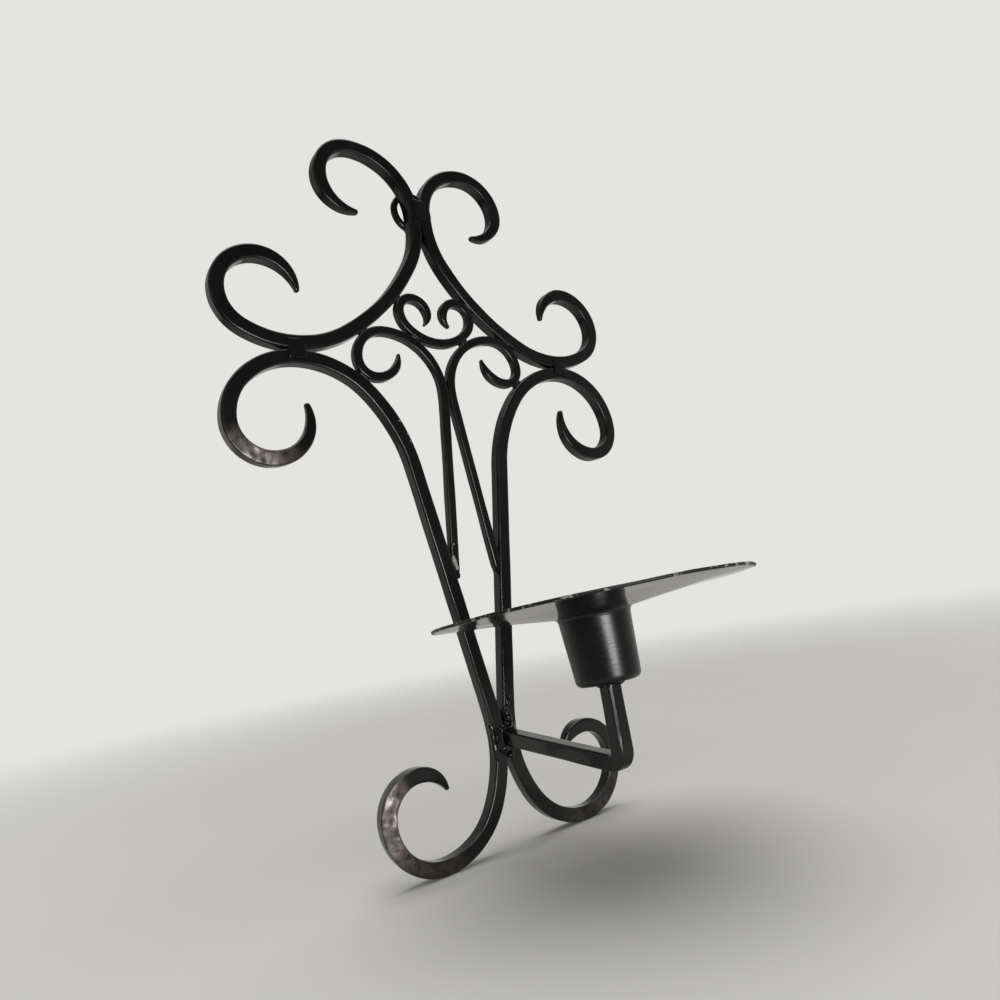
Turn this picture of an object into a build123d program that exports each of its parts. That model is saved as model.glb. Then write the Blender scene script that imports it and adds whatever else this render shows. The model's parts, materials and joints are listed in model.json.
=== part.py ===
from build123d import *
from collections import namedtuple
import math
import os

os.makedirs("parts", exist_ok=True)

# Wall sconce of bent black iron bar: +X right, +Y into the wall, +Z up, millimetres.
# The origin is the centre of the hanger ring, on the wall. The right half is drawn, and the left mirrors it.

# Bar stock and joints
BAR = 6.0                   # square bar of the stems, the crowns and the arm
SMALL_BAR = 4.0             # square bar of the inner scrolls and the heart
ARRIS = 0.5                 # rounding along the edges of a bar
BAR_TIP = 2.4               # width of a forged tip on the large bar
SMALL_TIP = 1.8             # width of a forged tip on the small bar
WELD_GAP = 0.2              # space between two bars that are welded side by side

# Hanger ring on the back of the crowns
HANGER_WIRE = 3.0
HANGER_BORE_R = 7.5
HANGER_ROUND = 1.0
HANGER_RISE = 6.5           # centre of the ring above the place where the crowns touch

# Crown scrolls, from where they touch up to the inner curl and down to the ear
CROWN_FLAT = 5.0            # straight stretch where the two crowns lie side by side
CROWN_TOP_R = 26.0
CROWN_SIDE_R = 17.0
CROWN_TIP_R = 14.5
CROWN_TIP_TURN = 95.0
CROWN_NECK_R = 41.0
CROWN_BACK_R = 102.0
CROWN_SADDLE_R = 46.0
CROWN_BACK_TURN = 30.0      # share of the quarter turn that the long back takes
CROWN_NECK_TURN = 30.0
CROWN_FOOT_R = 40.0
CROWN_FOOT_TURN = 30.0
CROWN_EAR_R = 17.0
CROWN_EAR_TOP_R = 17.5
CROWN_EAR_TIP_R = 15.5
CROWN_EAR_TIP_TURN = 84.0

# Stem scrolls, from their top out to the ear and down past the waist to the foot
STEM_EAR_R = 28.0
STEM_EAR_LOW_R = 14.5
STEM_EAR_TIP_R = 17.0
STEM_EAR_TIP_TURN = 108.0
STEM_SHOULDER_TURN = 50.0
STEM_CHEST_R = 69.0
STEM_LEAN = 10.0            # slope of the straight away from upright
STEM_STRAIGHT = 108.0
STEM_WAIST_R = 70.0
FOOT_HEEL_R = 53.0
FOOT_HEEL_TURN = 30.0
FOOT_SOLE_R = 30.0
FOOT_TOE_R = 21.5
FOOT_TOP_R = 14.8
FOOT_TIP_R = 13.5
FOOT_TIP_TURN = 67.0

# Heart scroll between the crowns
HEART_BASE_R = 22.0
HEART_BASE_TURN = 45.0
HEART_SIDE_R = 10.5
HEART_TOP_R = 7.0
HEART_INNER_R = 7.5
HEART_TIP_R = 6.0
HEART_TIP_TURN = 50.0

# Inner scrolls, each like a cane with a curled handle
CANE_SHOULDER_R = 26.5
CANE_SIDE_R = 13.5
CANE_LOW_R = 8.0
CANE_TIP_R = 12.0
CANE_TIP_TURN = 86.0
CANE_NECK_R = 60.0
CANE_LEAN = 6.6
CANE_LEG = 70.0
CANE_END = 6.0

# Collars over the joints
COLLAR_W = 8.5
COLLAR_H = 9.5
TOP_COLLAR_W = 8.0
TOP_COLLAR_H = 11.0
TOP_COLLAR_RISE = 4.3       # middle of the top collar above the place where the crowns touch
COLLAR_PROUD = 0.8          # height of a collar over the front of the bars
COLLAR_ROUND = 0.6

# Arm, from the waist forward and up to the cup
ARM_REACH = 69.8            # front of the stems to the axis of the upright leg
ARM_DROOP = 5.7
ARM_ELBOW_R = 4.5
CUP_BASE_RISE = 21.1        # underside of the cup above the root of the arm

# Candle cup and drip pan, which lean back a little toward the wall as one
CUP_LEAN = 3.6
CUP_TOP_R = 13.2
CUP_BASE_R = 11.6
CUP_HEIGHT = 24.5           # underside of the cup to underside of the pan
CUP_LIP = 2.2               # cup above the underside of the pan
CUP_WALL = 1.2
CUP_FLOOR = 1.5
CUP_EDGE = 1.6
PAN_R = 57.5
PAN_RISE = 4.1              # rim of the pan above its middle
PAN_CROWN = 0.5             # swell of the sheet above a straight cone
PAN_SHEET = 1.0

# Weld beads
ARM_BEAD = 2.0              # leg of the fillet around the root of the arm
LEG_BEAD = 1.6              # leg of the fillet under the cup
PAN_BEAD = 1.4              # leg of the fillet between cup and pan
TACK_R = 1.9                # tack in the corners where two bars touch
SCARF_BEAD_R = 2.0          # drop of weld at the foot of an inner scroll
HANGER_BEAD_R = 2.2
HANGER_BEAD_ANGLE = 20.0    # from the foot of the ring
WAIST_BEAD_R = 1.8
WAIST_BEAD_LENGTH = 14.0
NECK_BEAD_R = 1.3
NECK_BEAD_LENGTH = 10.0

BACK_Y = HANGER_WIRE
FRONT_Y = BACK_Y + BAR
SMALL_BACK_Y = FRONT_Y - SMALL_BAR

Bend = namedtuple("Bend", "start heading size turn end")


def toward(point, angle, distance):
    """Step from a point of the front view at an angle from +X."""
    rise = math.radians(angle)
    return (point[0] + distance * math.cos(rise), point[1] + distance * math.sin(rise))


def follow(start, heading, bends):
    """Lay bends of (radius, turn) end to end, each tangent to the last; no turn makes a straight."""
    course = []
    for size, turn in bends:
        hand = math.copysign(90, turn)
        end = toward(start, heading, size)
        if turn != 0:
            end = toward(toward(start, heading + hand, size), heading + turn - hand, size)
        course.append(Bend(start, heading, size, turn, end))
        start = end
        heading = heading + turn
    return course


def draw_edge(bend, offset):
    """Draw one edge of a bar along a bend, to the left of the course for a positive offset."""
    if bend.turn == 0:
        Line(toward(bend.start, bend.heading + 90, offset), toward(bend.end, bend.heading + 90, offset))
    else:
        hand = math.copysign(1, bend.turn)
        centre = toward(bend.start, bend.heading + 90 * hand, bend.size)
        CenterArc(centre, bend.size - hand * offset, bend.heading - 90 * hand, bend.turn)


def draw_half(course, width, tip):
    """Draw both edges of a bar from its middle, and the taper of its last bend to a round tip."""
    for bend in course[:-1]:
        draw_edge(bend, width / 2)
        draw_edge(bend, -width / 2)
    last = course[-1]
    leaving = last.heading + last.turn
    corners = []
    for side in (90, -90):
        corner = toward(last.end, leaving + side, tip / 2)
        TangentArc(toward(last.start, last.heading + side, width / 2), corner, tangent=toward((0, 0), last.heading, 1))
        corners.append(corner)
    ThreePointArc(corners[0], toward(last.end, leaving, tip / 4), corners[1])


def course_points(course, width=0.0, tip=0.0, step=0.7):
    """Give points along the middle of a bar, or along its left edge if it has a width; less than none is right."""
    points = [toward(course[0].start, course[0].heading + 90, width / 2)]
    for bend in course:
        length = bend.size if bend.turn == 0 else bend.size * abs(math.radians(bend.turn))
        taper = tip - width if bend is course[-1] else 0
        count = max(2, round(length / step))
        for index in range(1, count + 1):
            share = index / count
            part = (bend.size * share, 0) if bend.turn == 0 else (bend.size, bend.turn * share)
            middle = follow(bend.start, bend.heading, [part])[0].end
            points.append(toward(middle, bend.heading + bend.turn * share + 90, (width + taper * share) / 2))
    return points


def nearest(points, others):
    """Give the least distance between two rows of points, and the two points there."""
    return min((math.dist(one, other), one, other) for one in points for other in others)


def rise_to_touch(place, fixed, apart, low, high):
    """Raise a bar in its place until its middle is that far from the middle of a fixed bar."""
    fixed_points = course_points(fixed)
    for attempt in range(20):
        height = (low + high) / 2
        if nearest(course_points(place(height)), fixed_points)[0] > apart:
            low = height
        else:
            high = height
    return low


def between(point, other, share):
    """Give the point at a share of the way from one point to another."""
    return (point[0] + (other[0] - point[0]) * share, point[1] + (other[1] - point[1]) * share)


def joint(course, width, other_course, other_width):
    """Give the middle of the gap where two bars come closest."""
    distance, one, other = nearest(course_points(course), course_points(other_course))
    return between(one, other, (1 + (width - other_width) / (2 * distance)) / 2)


# Courses of the bars in the front view
side_x = (BAR + WELD_GAP) / 2
touch_z = -HANGER_RISE
crown_up = follow((side_x, touch_z + CROWN_FLAT / 2), 90, [
    (CROWN_TOP_R, -90), (CROWN_SIDE_R, -90), (CROWN_TIP_R, -CROWN_TIP_TURN)])
crown_back = follow((side_x, touch_z + CROWN_FLAT / 2), 270, [
    (CROWN_FLAT, 0), (CROWN_NECK_R, CROWN_NECK_TURN), (CROWN_BACK_R, CROWN_BACK_TURN),
    (CROWN_SADDLE_R, 90 - CROWN_NECK_TURN - CROWN_BACK_TURN)])
crown_low = crown_back[-1].end
crown_ear = follow(crown_low, 0, [
    (CROWN_FOOT_R, CROWN_FOOT_TURN), (CROWN_EAR_R, 90 - CROWN_FOOT_TURN), (CROWN_EAR_TOP_R, 90),
    (CROWN_EAR_TIP_R, CROWN_EAR_TIP_TURN)])
crown_down = crown_back + crown_ear

stem_top = (crown_low[0], crown_low[1] - BAR - WELD_GAP)
stem_chest = [(STEM_CHEST_R, 90 - STEM_SHOULDER_TURN - STEM_LEAN), (STEM_STRAIGHT, 0), (STEM_WAIST_R, STEM_LEAN)]
chest_run = follow((0, 0), 180 + STEM_SHOULDER_TURN, stem_chest)[-1].end[0]
stem_shoulder_r = (stem_top[0] - side_x + chest_run) / math.sin(math.radians(STEM_SHOULDER_TURN))
stem_ear = follow(stem_top, 0, [
    (STEM_EAR_R, -90), (STEM_EAR_LOW_R, -90), (STEM_EAR_TIP_R, -STEM_EAR_TIP_TURN)])
stem_fall = follow(stem_top, 180, [(stem_shoulder_r, STEM_SHOULDER_TURN)] + stem_chest)
waist = stem_fall[-1].end
stem_foot = follow(waist, 270, [
    (FOOT_HEEL_R, FOOT_HEEL_TURN), (FOOT_SOLE_R, 90 - FOOT_HEEL_TURN), (FOOT_TOE_R, 90), (FOOT_TOP_R, 90),
    (FOOT_TIP_R, FOOT_TIP_TURN)])
stem_down = stem_fall + stem_foot


def heart_half(height, hand):
    """Lay one half of the heart from the bottom of its middle; hand is 1 to the right, -1 to the left."""
    return follow((0, height), 90 - 90 * hand, [
        (HEART_BASE_R, hand * HEART_BASE_TURN), (HEART_SIDE_R, hand * (90 - HEART_BASE_TURN)),
        (HEART_TOP_R, hand * 90), (HEART_INNER_R, hand * 90), (HEART_TIP_R, hand * HEART_TIP_TURN)])


def right_heart(height):
    return heart_half(height, 1)


def cane_handle(height):
    """Lay the curled handle of the right inner scroll from its upright neck."""
    return follow(((SMALL_BAR + WELD_GAP) / 2, height), 90, [
        (CANE_SHOULDER_R, -90), (CANE_SIDE_R, -90), (CANE_LOW_R, -90), (CANE_TIP_R, -CANE_TIP_TURN)])


mixed_apart = (BAR + SMALL_BAR) / 2 + WELD_GAP
small_apart = SMALL_BAR + WELD_GAP
heart_z = rise_to_touch(right_heart, crown_down, mixed_apart, crown_low[1] - CROWN_BACK_R, touch_z)
heart = right_heart(heart_z)
under_crown = rise_to_touch(cane_handle, crown_down, mixed_apart, waist[1], touch_z)
under_heart = rise_to_touch(cane_handle, heart, small_apart, waist[1], touch_z)
cane = cane_handle(min(under_crown, under_heart))
cane_leg = follow(cane[0].start, 270, [(CANE_NECK_R, CANE_LEAN), (CANE_LEG, 0), (CANE_END, 0)])


def forged_bar(halves, width, tip, back):
    """Bend a square bar along its two courses in the front view, and ease its long edges."""
    with BuildPart() as bar:
        with BuildSketch(Plane.XZ.offset(back)):
            with BuildLine():
                for course in halves:
                    draw_half(course, width, tip)
            make_face()
        extrude(amount=width, dir=(0, -1, 0), clean=False)
        long_edges = bar.faces().filter_by(Axis.Y).edges().filter_by(lambda edge: edge.length > 1.6 * tip)
        chamfer(long_edges, ARRIS)
    return bar


def mirrored(piece):
    """Make the left-hand copy of a right-hand piece."""
    with BuildPart() as copy:
        mirror(piece.part, about=Plane.YZ)
    return copy


# The two crown scrolls stand back to back at the top
right_crown_scroll = forged_bar([crown_up, crown_down], BAR, BAR_TIP, BACK_Y)
left_crown_scroll = mirrored(right_crown_scroll)

# The two stem scrolls hang under the crowns, meet at the waist and curl into the feet
right_stem_scroll = forged_bar([stem_ear, stem_down], BAR, BAR_TIP, BACK_Y)
left_stem_scroll = mirrored(right_stem_scroll)

# The heart scroll is one bar on the middle line, with both ends curled inward
heart_scroll = forged_bar([heart, heart_half(heart_z, -1)], SMALL_BAR, SMALL_TIP, SMALL_BACK_Y)

# The legs of the inner scrolls run down to the stems and end in a scarf along them
cane_bar = forged_bar([cane, cane_leg], SMALL_BAR, SMALL_TIP, SMALL_BACK_Y)
with BuildPart() as right_inner_scroll:
    add(cane_bar.part)
    add(right_stem_scroll.part, mode=Mode.SUBTRACT)
left_inner_scroll = mirrored(right_inner_scroll)

# Each side collar is a block pressed over the joint of a crown and a stem
collar_depth = BAR + COLLAR_PROUD
collar_y = -BACK_Y - collar_depth / 2
with BuildPart() as right_collar:
    with Locations((stem_top[0], collar_y, (stem_top[1] + crown_low[1]) / 2)):
        Box(COLLAR_W, collar_depth, COLLAR_H)
    fillet(right_collar.faces().sort_by(Axis.Y)[0].edges(), COLLAR_ROUND)
    add(right_crown_scroll.part, mode=Mode.SUBTRACT)
    add(right_stem_scroll.part, mode=Mode.SUBTRACT)
left_collar = mirrored(right_collar)

# The top collar does the same in the fork above the place where the two crowns touch
with BuildPart() as top_collar:
    with Locations((0, collar_y, touch_z + TOP_COLLAR_RISE)):
        Box(TOP_COLLAR_W, collar_depth, TOP_COLLAR_H)
    fillet(top_collar.faces().sort_by(Axis.Y)[0].edges(), COLLAR_ROUND)
    add(right_crown_scroll.part, mode=Mode.SUBTRACT)
    add(left_crown_scroll.part, mode=Mode.SUBTRACT)

# The hanger ring lies flat on the backs of the crowns, and its back touches the wall
with BuildPart() as hanger_ring:
    with BuildSketch(Plane.XZ):
        Circle(HANGER_BORE_R + HANGER_WIRE)
        Circle(HANGER_BORE_R, mode=Mode.SUBTRACT)
    extrude(amount=HANGER_WIRE)
    fillet(hanger_ring.edges().filter_by(GeomType.CIRCLE).sort_by(SortBy.RADIUS)[-2:], HANGER_ROUND)

# The cup and the pan are turned about one axis, which leans from the middle of the cup's underside
cup_base = Vector(0, -FRONT_Y - ARM_REACH, waist[1] + CUP_BASE_RISE)
lean = math.radians(CUP_LEAN)
cup_axis = Axis(cup_base, (0, math.sin(lean), math.cos(lean)))
cup_section = Plane(cup_base, x_dir=(1, 0, 0), z_dir=(0, -math.cos(lean), math.sin(lean)))


def cup_radius(height):
    """Give the outside radius of the tapered cup at a height over its underside."""
    return CUP_BASE_R + (CUP_TOP_R - CUP_BASE_R) * height / CUP_HEIGHT


cup_mouth = CUP_HEIGHT + CUP_LIP
with BuildPart() as candle_cup:
    with BuildSketch(cup_section):
        with BuildLine():
            Polyline(
                (0, 0), (CUP_BASE_R, 0), (cup_radius(cup_mouth), cup_mouth),
                (cup_radius(cup_mouth) - CUP_WALL, cup_mouth), (cup_radius(CUP_FLOOR) - CUP_WALL, CUP_FLOOR),
                (0, CUP_FLOOR), close=True)
        make_face()
    revolve(axis=cup_axis)
    fillet(candle_cup.edges().filter_by(GeomType.CIRCLE).sort_by(cup_axis)[0], CUP_EDGE)

# The pan is a shallow dish of sheet with a hole for the cup
pan_hole_r = cup_radius(cup_mouth) + WELD_GAP
pan_middle = ((pan_hole_r + PAN_R) / 2, CUP_HEIGHT + PAN_RISE / 2 + PAN_CROWN)
with BuildPart() as drip_pan:
    with BuildSketch(cup_section):
        with BuildLine():
            lower = ThreePointArc((pan_hole_r, CUP_HEIGHT), pan_middle, (PAN_R, CUP_HEIGHT + PAN_RISE))
            upper = ThreePointArc(
                lower @ 0 + Vector(0, PAN_SHEET), lower @ 0.5 + Vector(0, PAN_SHEET), lower @ 1 + Vector(0, PAN_SHEET))
            Line(lower @ 0, upper @ 0)
            Line(lower @ 1, upper @ 1)
        make_face()
    revolve(axis=cup_axis)

# The arm is one bar bent up at the elbow, and its end stops under the cup
arm_turn = 90 + ARM_DROOP
elbow_back = ARM_ELBOW_R * math.tan(math.radians(arm_turn / 2))
arm_straight = ARM_REACH / math.cos(math.radians(ARM_DROOP)) - elbow_back
arm_course = follow((FRONT_Y, waist[1]), -ARM_DROOP, [(arm_straight, 0), (ARM_ELBOW_R, arm_turn)])
leg_length = cup_base.Z + CUP_FLOOR / 2 - arm_course[-1].end[1]
leg = follow(arm_course[-1].end, 90, [(leg_length, 0)])[0]
root_half = BAR / 2 / math.cos(math.radians(ARM_DROOP))
side_view = Plane((BAR / 2, 0, 0), x_dir=(0, -1, 0), z_dir=(-1, 0, 0))
with BuildPart() as arm:
    with BuildSketch(side_view):
        with BuildLine():
            for side in (1, -1):
                root_corner = (FRONT_Y, waist[1] + side * root_half)
                Line(root_corner, toward(arm_course[0].end, 90 - ARM_DROOP, side * BAR / 2))
                draw_edge(arm_course[1], side * BAR / 2)
                draw_edge(leg, side * BAR / 2)
            Line((FRONT_Y, waist[1] + root_half), (FRONT_Y, waist[1] - root_half))
            Line(toward(leg.end, 180, BAR / 2), toward(leg.end, 0, BAR / 2))
        make_face()
    extrude(amount=BAR, dir=(-1, 0, 0), clean=False)
    chamfer(arm.faces().filter_by(Axis.X).edges().filter_by(lambda edge: edge.length > 1.2 * BAR), ARRIS)
    add(candle_cup.part, mode=Mode.SUBTRACT)

# A fillet of weld runs around the root of the arm, on the fronts of both stems
with BuildPart() as arm_root_weld:
    with BuildSketch(Plane.XZ.offset(FRONT_Y)):
        with Locations((0, waist[1])):
            Rectangle(BAR + 2 * ARM_BEAD, BAR + 2 * ARM_BEAD)
    with BuildSketch(Plane.XZ.offset(FRONT_Y + ARM_BEAD)):
        with Locations((0, waist[1])):
            Rectangle(BAR + ARRIS, BAR + ARRIS)
    loft()
    add(arm.part, mode=Mode.SUBTRACT)

# A fillet of weld joins the end of the arm to the underside of the cup
with BuildPart() as cup_weld:
    with BuildSketch(Plane(cup_base).offset(CUP_FLOOR / 2)):
        Rectangle(BAR + 2 * LEG_BEAD, BAR + 2 * LEG_BEAD)
    with BuildSketch(Plane(cup_base).offset(-LEG_BEAD)):
        Rectangle(BAR + ARRIS, BAR + ARRIS)
    loft()
    add(arm.part, mode=Mode.SUBTRACT)
    add(candle_cup.part, mode=Mode.SUBTRACT)

# A ring of weld fills the corner between the cup and the underside of the pan
bead_top = CUP_HEIGHT + PAN_SHEET / 2
bead_foot = CUP_HEIGHT - PAN_BEAD
with BuildPart() as pan_weld:
    with BuildSketch(cup_section):
        with BuildLine():
            Polyline(
                (cup_radius(bead_foot), bead_foot), (pan_hole_r + PAN_BEAD, bead_top),
                (cup_radius(bead_top), bead_top), close=True)
        make_face()
    revolve(axis=cup_axis)
    add(drip_pan.part, mode=Mode.SUBTRACT)

# Two drops of weld hold the foot of the hanger ring to the backs of the crowns
hanger_foot = toward((0, 0), 270 + HANGER_BEAD_ANGLE, HANGER_BORE_R + HANGER_WIRE)
with BuildPart() as hanger_welds:
    with Locations((hanger_foot[0], -BACK_Y, hanger_foot[1])):
        Sphere(HANGER_BEAD_R)
    mirror(about=Plane.YZ)
    for piece in (hanger_ring, right_crown_scroll, left_crown_scroll, top_collar):
        add(piece.part, mode=Mode.SUBTRACT)

# A bead up the back of the waist holds the two stems together
with BuildPart() as waist_weld:
    with Locations((0, -BACK_Y, waist[1])):
        Cylinder(WAIST_BEAD_R, WAIST_BEAD_LENGTH)
    add(right_stem_scroll.part, mode=Mode.SUBTRACT)
    add(left_stem_scroll.part, mode=Mode.SUBTRACT)


def tacks(joints, radius, neighbours):
    """Fill the corners beside each joint of two bars with weld, on both sides of the sconce."""
    with BuildPart() as beads:
        for place in joints:
            with BuildSketch(Plane.XZ.offset(SMALL_BACK_Y + ARRIS)):
                with Locations(place):
                    Circle(radius)
            extrude(amount=SMALL_BAR - 2 * ARRIS)
        mirror(about=Plane.YZ)
        for neighbour in neighbours:
            add(neighbour.part, mode=Mode.SUBTRACT)
    return beads


# Tacks hold the heart between the crowns and on the inner scrolls
crowns = [right_crown_scroll, left_crown_scroll]
stems = [right_stem_scroll, left_stem_scroll]
canes = [right_inner_scroll, left_inner_scroll]
heart_joints = [joint(heart, SMALL_BAR, crown_down, BAR), joint(heart, SMALL_BAR, cane, SMALL_BAR)]
heart_welds = tacks(heart_joints, TACK_R, crowns + canes + [heart_scroll])

# Tacks hold the curls of the inner scrolls to the crowns and the stems
curl_joints = [joint(cane, SMALL_BAR, crown_down, BAR), joint(cane, SMALL_BAR, stem_fall, BAR)]
curl_welds = tacks(curl_joints, TACK_R, crowns + stems + canes)

# A drop of weld closes the scarf at the foot of each inner scroll
inner_edge = course_points(cane_leg, -SMALL_BAR, -SMALL_TIP)
scarf_gap, leg_corner, stem_side = nearest(inner_edge, course_points(stem_fall, -BAR, -BAR))
scarf = between(leg_corner, stem_side, 1 / 2)
scarf_welds = tacks([scarf], SCARF_BEAD_R, stems + canes)

# A bead up the back of the necks holds the two inner scrolls together
with BuildPart() as neck_weld:
    with Locations((0, -SMALL_BACK_Y, cane[0].start[1])):
        Cylinder(NECK_BEAD_R, NECK_BEAD_LENGTH)
    for piece in canes:
        add(piece.part, mode=Mode.SUBTRACT)

for piece, name in (
    (right_crown_scroll, "right_crown_scroll"),
    (left_crown_scroll, "left_crown_scroll"),
    (right_stem_scroll, "right_stem_scroll"),
    (left_stem_scroll, "left_stem_scroll"),
    (heart_scroll, "heart_scroll"),
    (right_inner_scroll, "right_inner_scroll"),
    (left_inner_scroll, "left_inner_scroll"),
    (right_collar, "right_collar"),
    (left_collar, "left_collar"),
    (top_collar, "top_collar"),
    (hanger_ring, "hanger_ring"),
    (arm, "arm"),
    (candle_cup, "candle_cup"),
    (drip_pan, "drip_pan"),
    (arm_root_weld, "arm_root_weld"),
    (cup_weld, "cup_weld"),
    (pan_weld, "pan_weld"),
    (hanger_welds, "hanger_welds"),
    (waist_weld, "waist_weld"),
    (scarf_welds, "scarf_welds"),
    (heart_welds, "heart_welds"),
    (curl_welds, "curl_welds"),
    (neck_weld, "neck_weld"),
):
    piece.part.label = name
    export_step(piece.part, f"parts/{name}.step")
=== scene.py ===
import json
import math

import bmesh
import bpy
import numpy as np
from mathutils import Matrix, Vector, noise


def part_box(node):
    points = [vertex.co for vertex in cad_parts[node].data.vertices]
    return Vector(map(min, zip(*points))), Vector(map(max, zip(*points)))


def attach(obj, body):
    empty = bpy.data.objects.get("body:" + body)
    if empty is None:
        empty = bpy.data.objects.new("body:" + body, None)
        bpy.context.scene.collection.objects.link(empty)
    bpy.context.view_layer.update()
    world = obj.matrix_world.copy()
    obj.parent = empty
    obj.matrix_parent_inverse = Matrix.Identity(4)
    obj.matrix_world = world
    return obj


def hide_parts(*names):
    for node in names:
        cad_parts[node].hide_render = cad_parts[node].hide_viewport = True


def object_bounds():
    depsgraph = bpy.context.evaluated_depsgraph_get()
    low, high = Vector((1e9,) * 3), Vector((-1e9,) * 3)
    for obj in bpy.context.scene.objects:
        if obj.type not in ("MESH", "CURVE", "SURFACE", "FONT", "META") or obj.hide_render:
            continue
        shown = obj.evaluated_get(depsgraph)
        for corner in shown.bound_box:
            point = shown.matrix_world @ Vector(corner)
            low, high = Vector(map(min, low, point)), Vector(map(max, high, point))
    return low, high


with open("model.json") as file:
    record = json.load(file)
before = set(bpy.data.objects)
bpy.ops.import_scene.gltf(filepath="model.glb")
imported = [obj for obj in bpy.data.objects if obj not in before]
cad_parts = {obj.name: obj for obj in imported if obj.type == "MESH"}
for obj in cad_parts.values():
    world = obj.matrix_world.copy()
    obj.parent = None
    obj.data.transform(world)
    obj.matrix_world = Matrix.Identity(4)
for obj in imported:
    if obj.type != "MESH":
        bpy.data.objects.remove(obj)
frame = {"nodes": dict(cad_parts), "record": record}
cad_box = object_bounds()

# Stem scrolls
# Two square bars of mild steel, bent hot into an ear at the top and a foot at the bottom, with both ends
# drawn down to a rounded point. They lie side by side at the waist. The left one is beaten flat in places.
MM = 0.001
BAR = 6 * MM
BAR_ARRIS = 0.85 * MM               # rounding that the rolling and the paint leave along the edges
ARRIS_CHANGE = 0.35                 # share by which that rounding comes and goes along a bar
ARRIS_LIMIT = 0.8                   # share of half a thin end that the rounding may take up
BAR_TIP = 2.2 * MM
EAR_TAPER = 32 * MM                 # length over which the ear is drawn down to its point
FOOT_TIP = 1.6 * MM
FOOT_TAPER = 16 * MM
TIP_DEPTH = 2.8 * MM                # a drawn point is thinner front to back as well
CAP_ANGLES = (25, 50, 70, 84)       # degrees round the end of a bar where its rounding has a ring of points
CAP_REACH = 0.9                     # how far a rounded end stands out, as a share of half the bar
WELD_GAP = 0.2 * MM
SHOULDER_TURN = 50
CHEST_BENDS = [(69 * MM, 30), (108 * MM, 0), (70 * MM, 10)]
FOOT_BENDS = [(53 * MM, 30), (30 * MM, 60), (21.5 * MM, 90), (14.8 * MM, 90), (13.5 * MM, 67)]
RIGHT_EAR_BENDS = [(28 * MM, -90), (14.5 * MM, -90), (17 * MM, -108)]
LEFT_EAR_BENDS = [(32 * MM, -45), (24 * MM, -45), (15.5 * MM, -90), (17 * MM, -107)]  # bent a little wider
BEND_STEP = 0.8 * MM                # spacing of the rings of points along a bar
DENT = 0.10 * MM                    # long waves that forging leaves in a bar
DENT_LENGTH = 16 * MM
PIT = 0.03 * MM                     # short waves of scale under the paint
PIT_LENGTH = 3.5 * MM
TWIST = 1.5                         # degrees that a bar is out of true along the long waves
HAMMER_MARK = (2.4 * MM, 2.4 * MM, 4.4 * MM)      # one hammer mark, longest along the bar
HAMMER_DEPTH = 1.0 * MM
HAMMER_SINK = 0.4                   # share of that depth that a mark sinks, while the ridges round it rise
HAMMER_SPREAD = 0.13                # how much wider the bar is where it is flattened
MARK_WARP = 0.5                     # how far the marks are drawn out of shape, as a share of their size
MARK_WARP_WAVE = 0.8                # and how often that changes from mark to mark
MARK_SEED = 1                       # picks their shapes, which are then the same at every run
# Places that the hammer has flattened, in mm: x, z, reach, how hard, and the tilt that it leaves in degrees.
# How hard also sets how much brown-grey wear and painted sheen the place gets.
LEFT_BLOWS = [
    (-96, -115, 9, 0.4, 4), (-91, -119, 10, 0.65, 6), (-84.5, -120.5, 10, 0.55, 6), (-77, -119.5, 7, 0.2, 3),
    (-53.5, -251, 6, 0.8, 3), (-57.5, -255, 10, 1, 7), (-61, -263, 12, 1, 9), (-59.5, -272, 12, 1, 9),
    (-54, -278, 10, 0.4, 4), (-46, -283.5, 12, 0.14, 0), (-37, -286, 12, 0.1, 0)]
RIGHT_BLOWS = [(30, -286, 12, 0.1, 0), (44, -284, 12, 0.12, 0), (55, -276, 10, 0.1, 0)]
# Specks where the paint has come off the left bar, in mm: x, z, reach
LEFT_SPECKS = [(-27.4, -106, 0.9), (-24.6, -111.7, 0.8), (-23.6, -114.9, 0.8)]


def bend_path(start, heading, bends, step=BEND_STEP):
    """Follow bends of (size, turn) end to end: a radius and its turn in degrees, or a straight and 0."""
    path = [(start[0], start[1], math.radians(heading))]
    for size, turn in bends:
        u, v, before = path[-1]
        bend = math.radians(turn)
        length = size * abs(bend) if turn else size
        count = math.ceil(length / step)
        for index in range(1, count + 1):
            after = before + bend * index / count
            if turn:
                radius = math.copysign(size, turn)
                along = radius * (math.sin(after) - math.sin(before))
                across = radius * (math.cos(before) - math.cos(after))
            else:
                along = size * index / count * math.cos(before)
                across = size * index / count * math.sin(before)
            path.append((u + along, v + across, after))
    return path


def end_to_end(first, second):
    """Join two paths that leave one point in opposite directions, from the end of the first to the other."""
    turned = [(u, v, heading + math.pi) for u, v, heading in reversed(first)]
    return np.array(turned + second[1:])


def on_side(side, path):
    """Give a path of the right half as it is, or as it lies on the left."""
    if side == "right":
        return path
    return np.column_stack((-path[:, 0], path[:, 1], math.pi - path[:, 2]))


def ripple(points, length, seed):
    """Give smooth noise of that wave length at each point."""
    shift = Vector((seed * 7.1, seed * 3.7, seed * 5.3))
    return np.array([noise.noise(Vector(point) / length + shift) for point in points])


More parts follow.
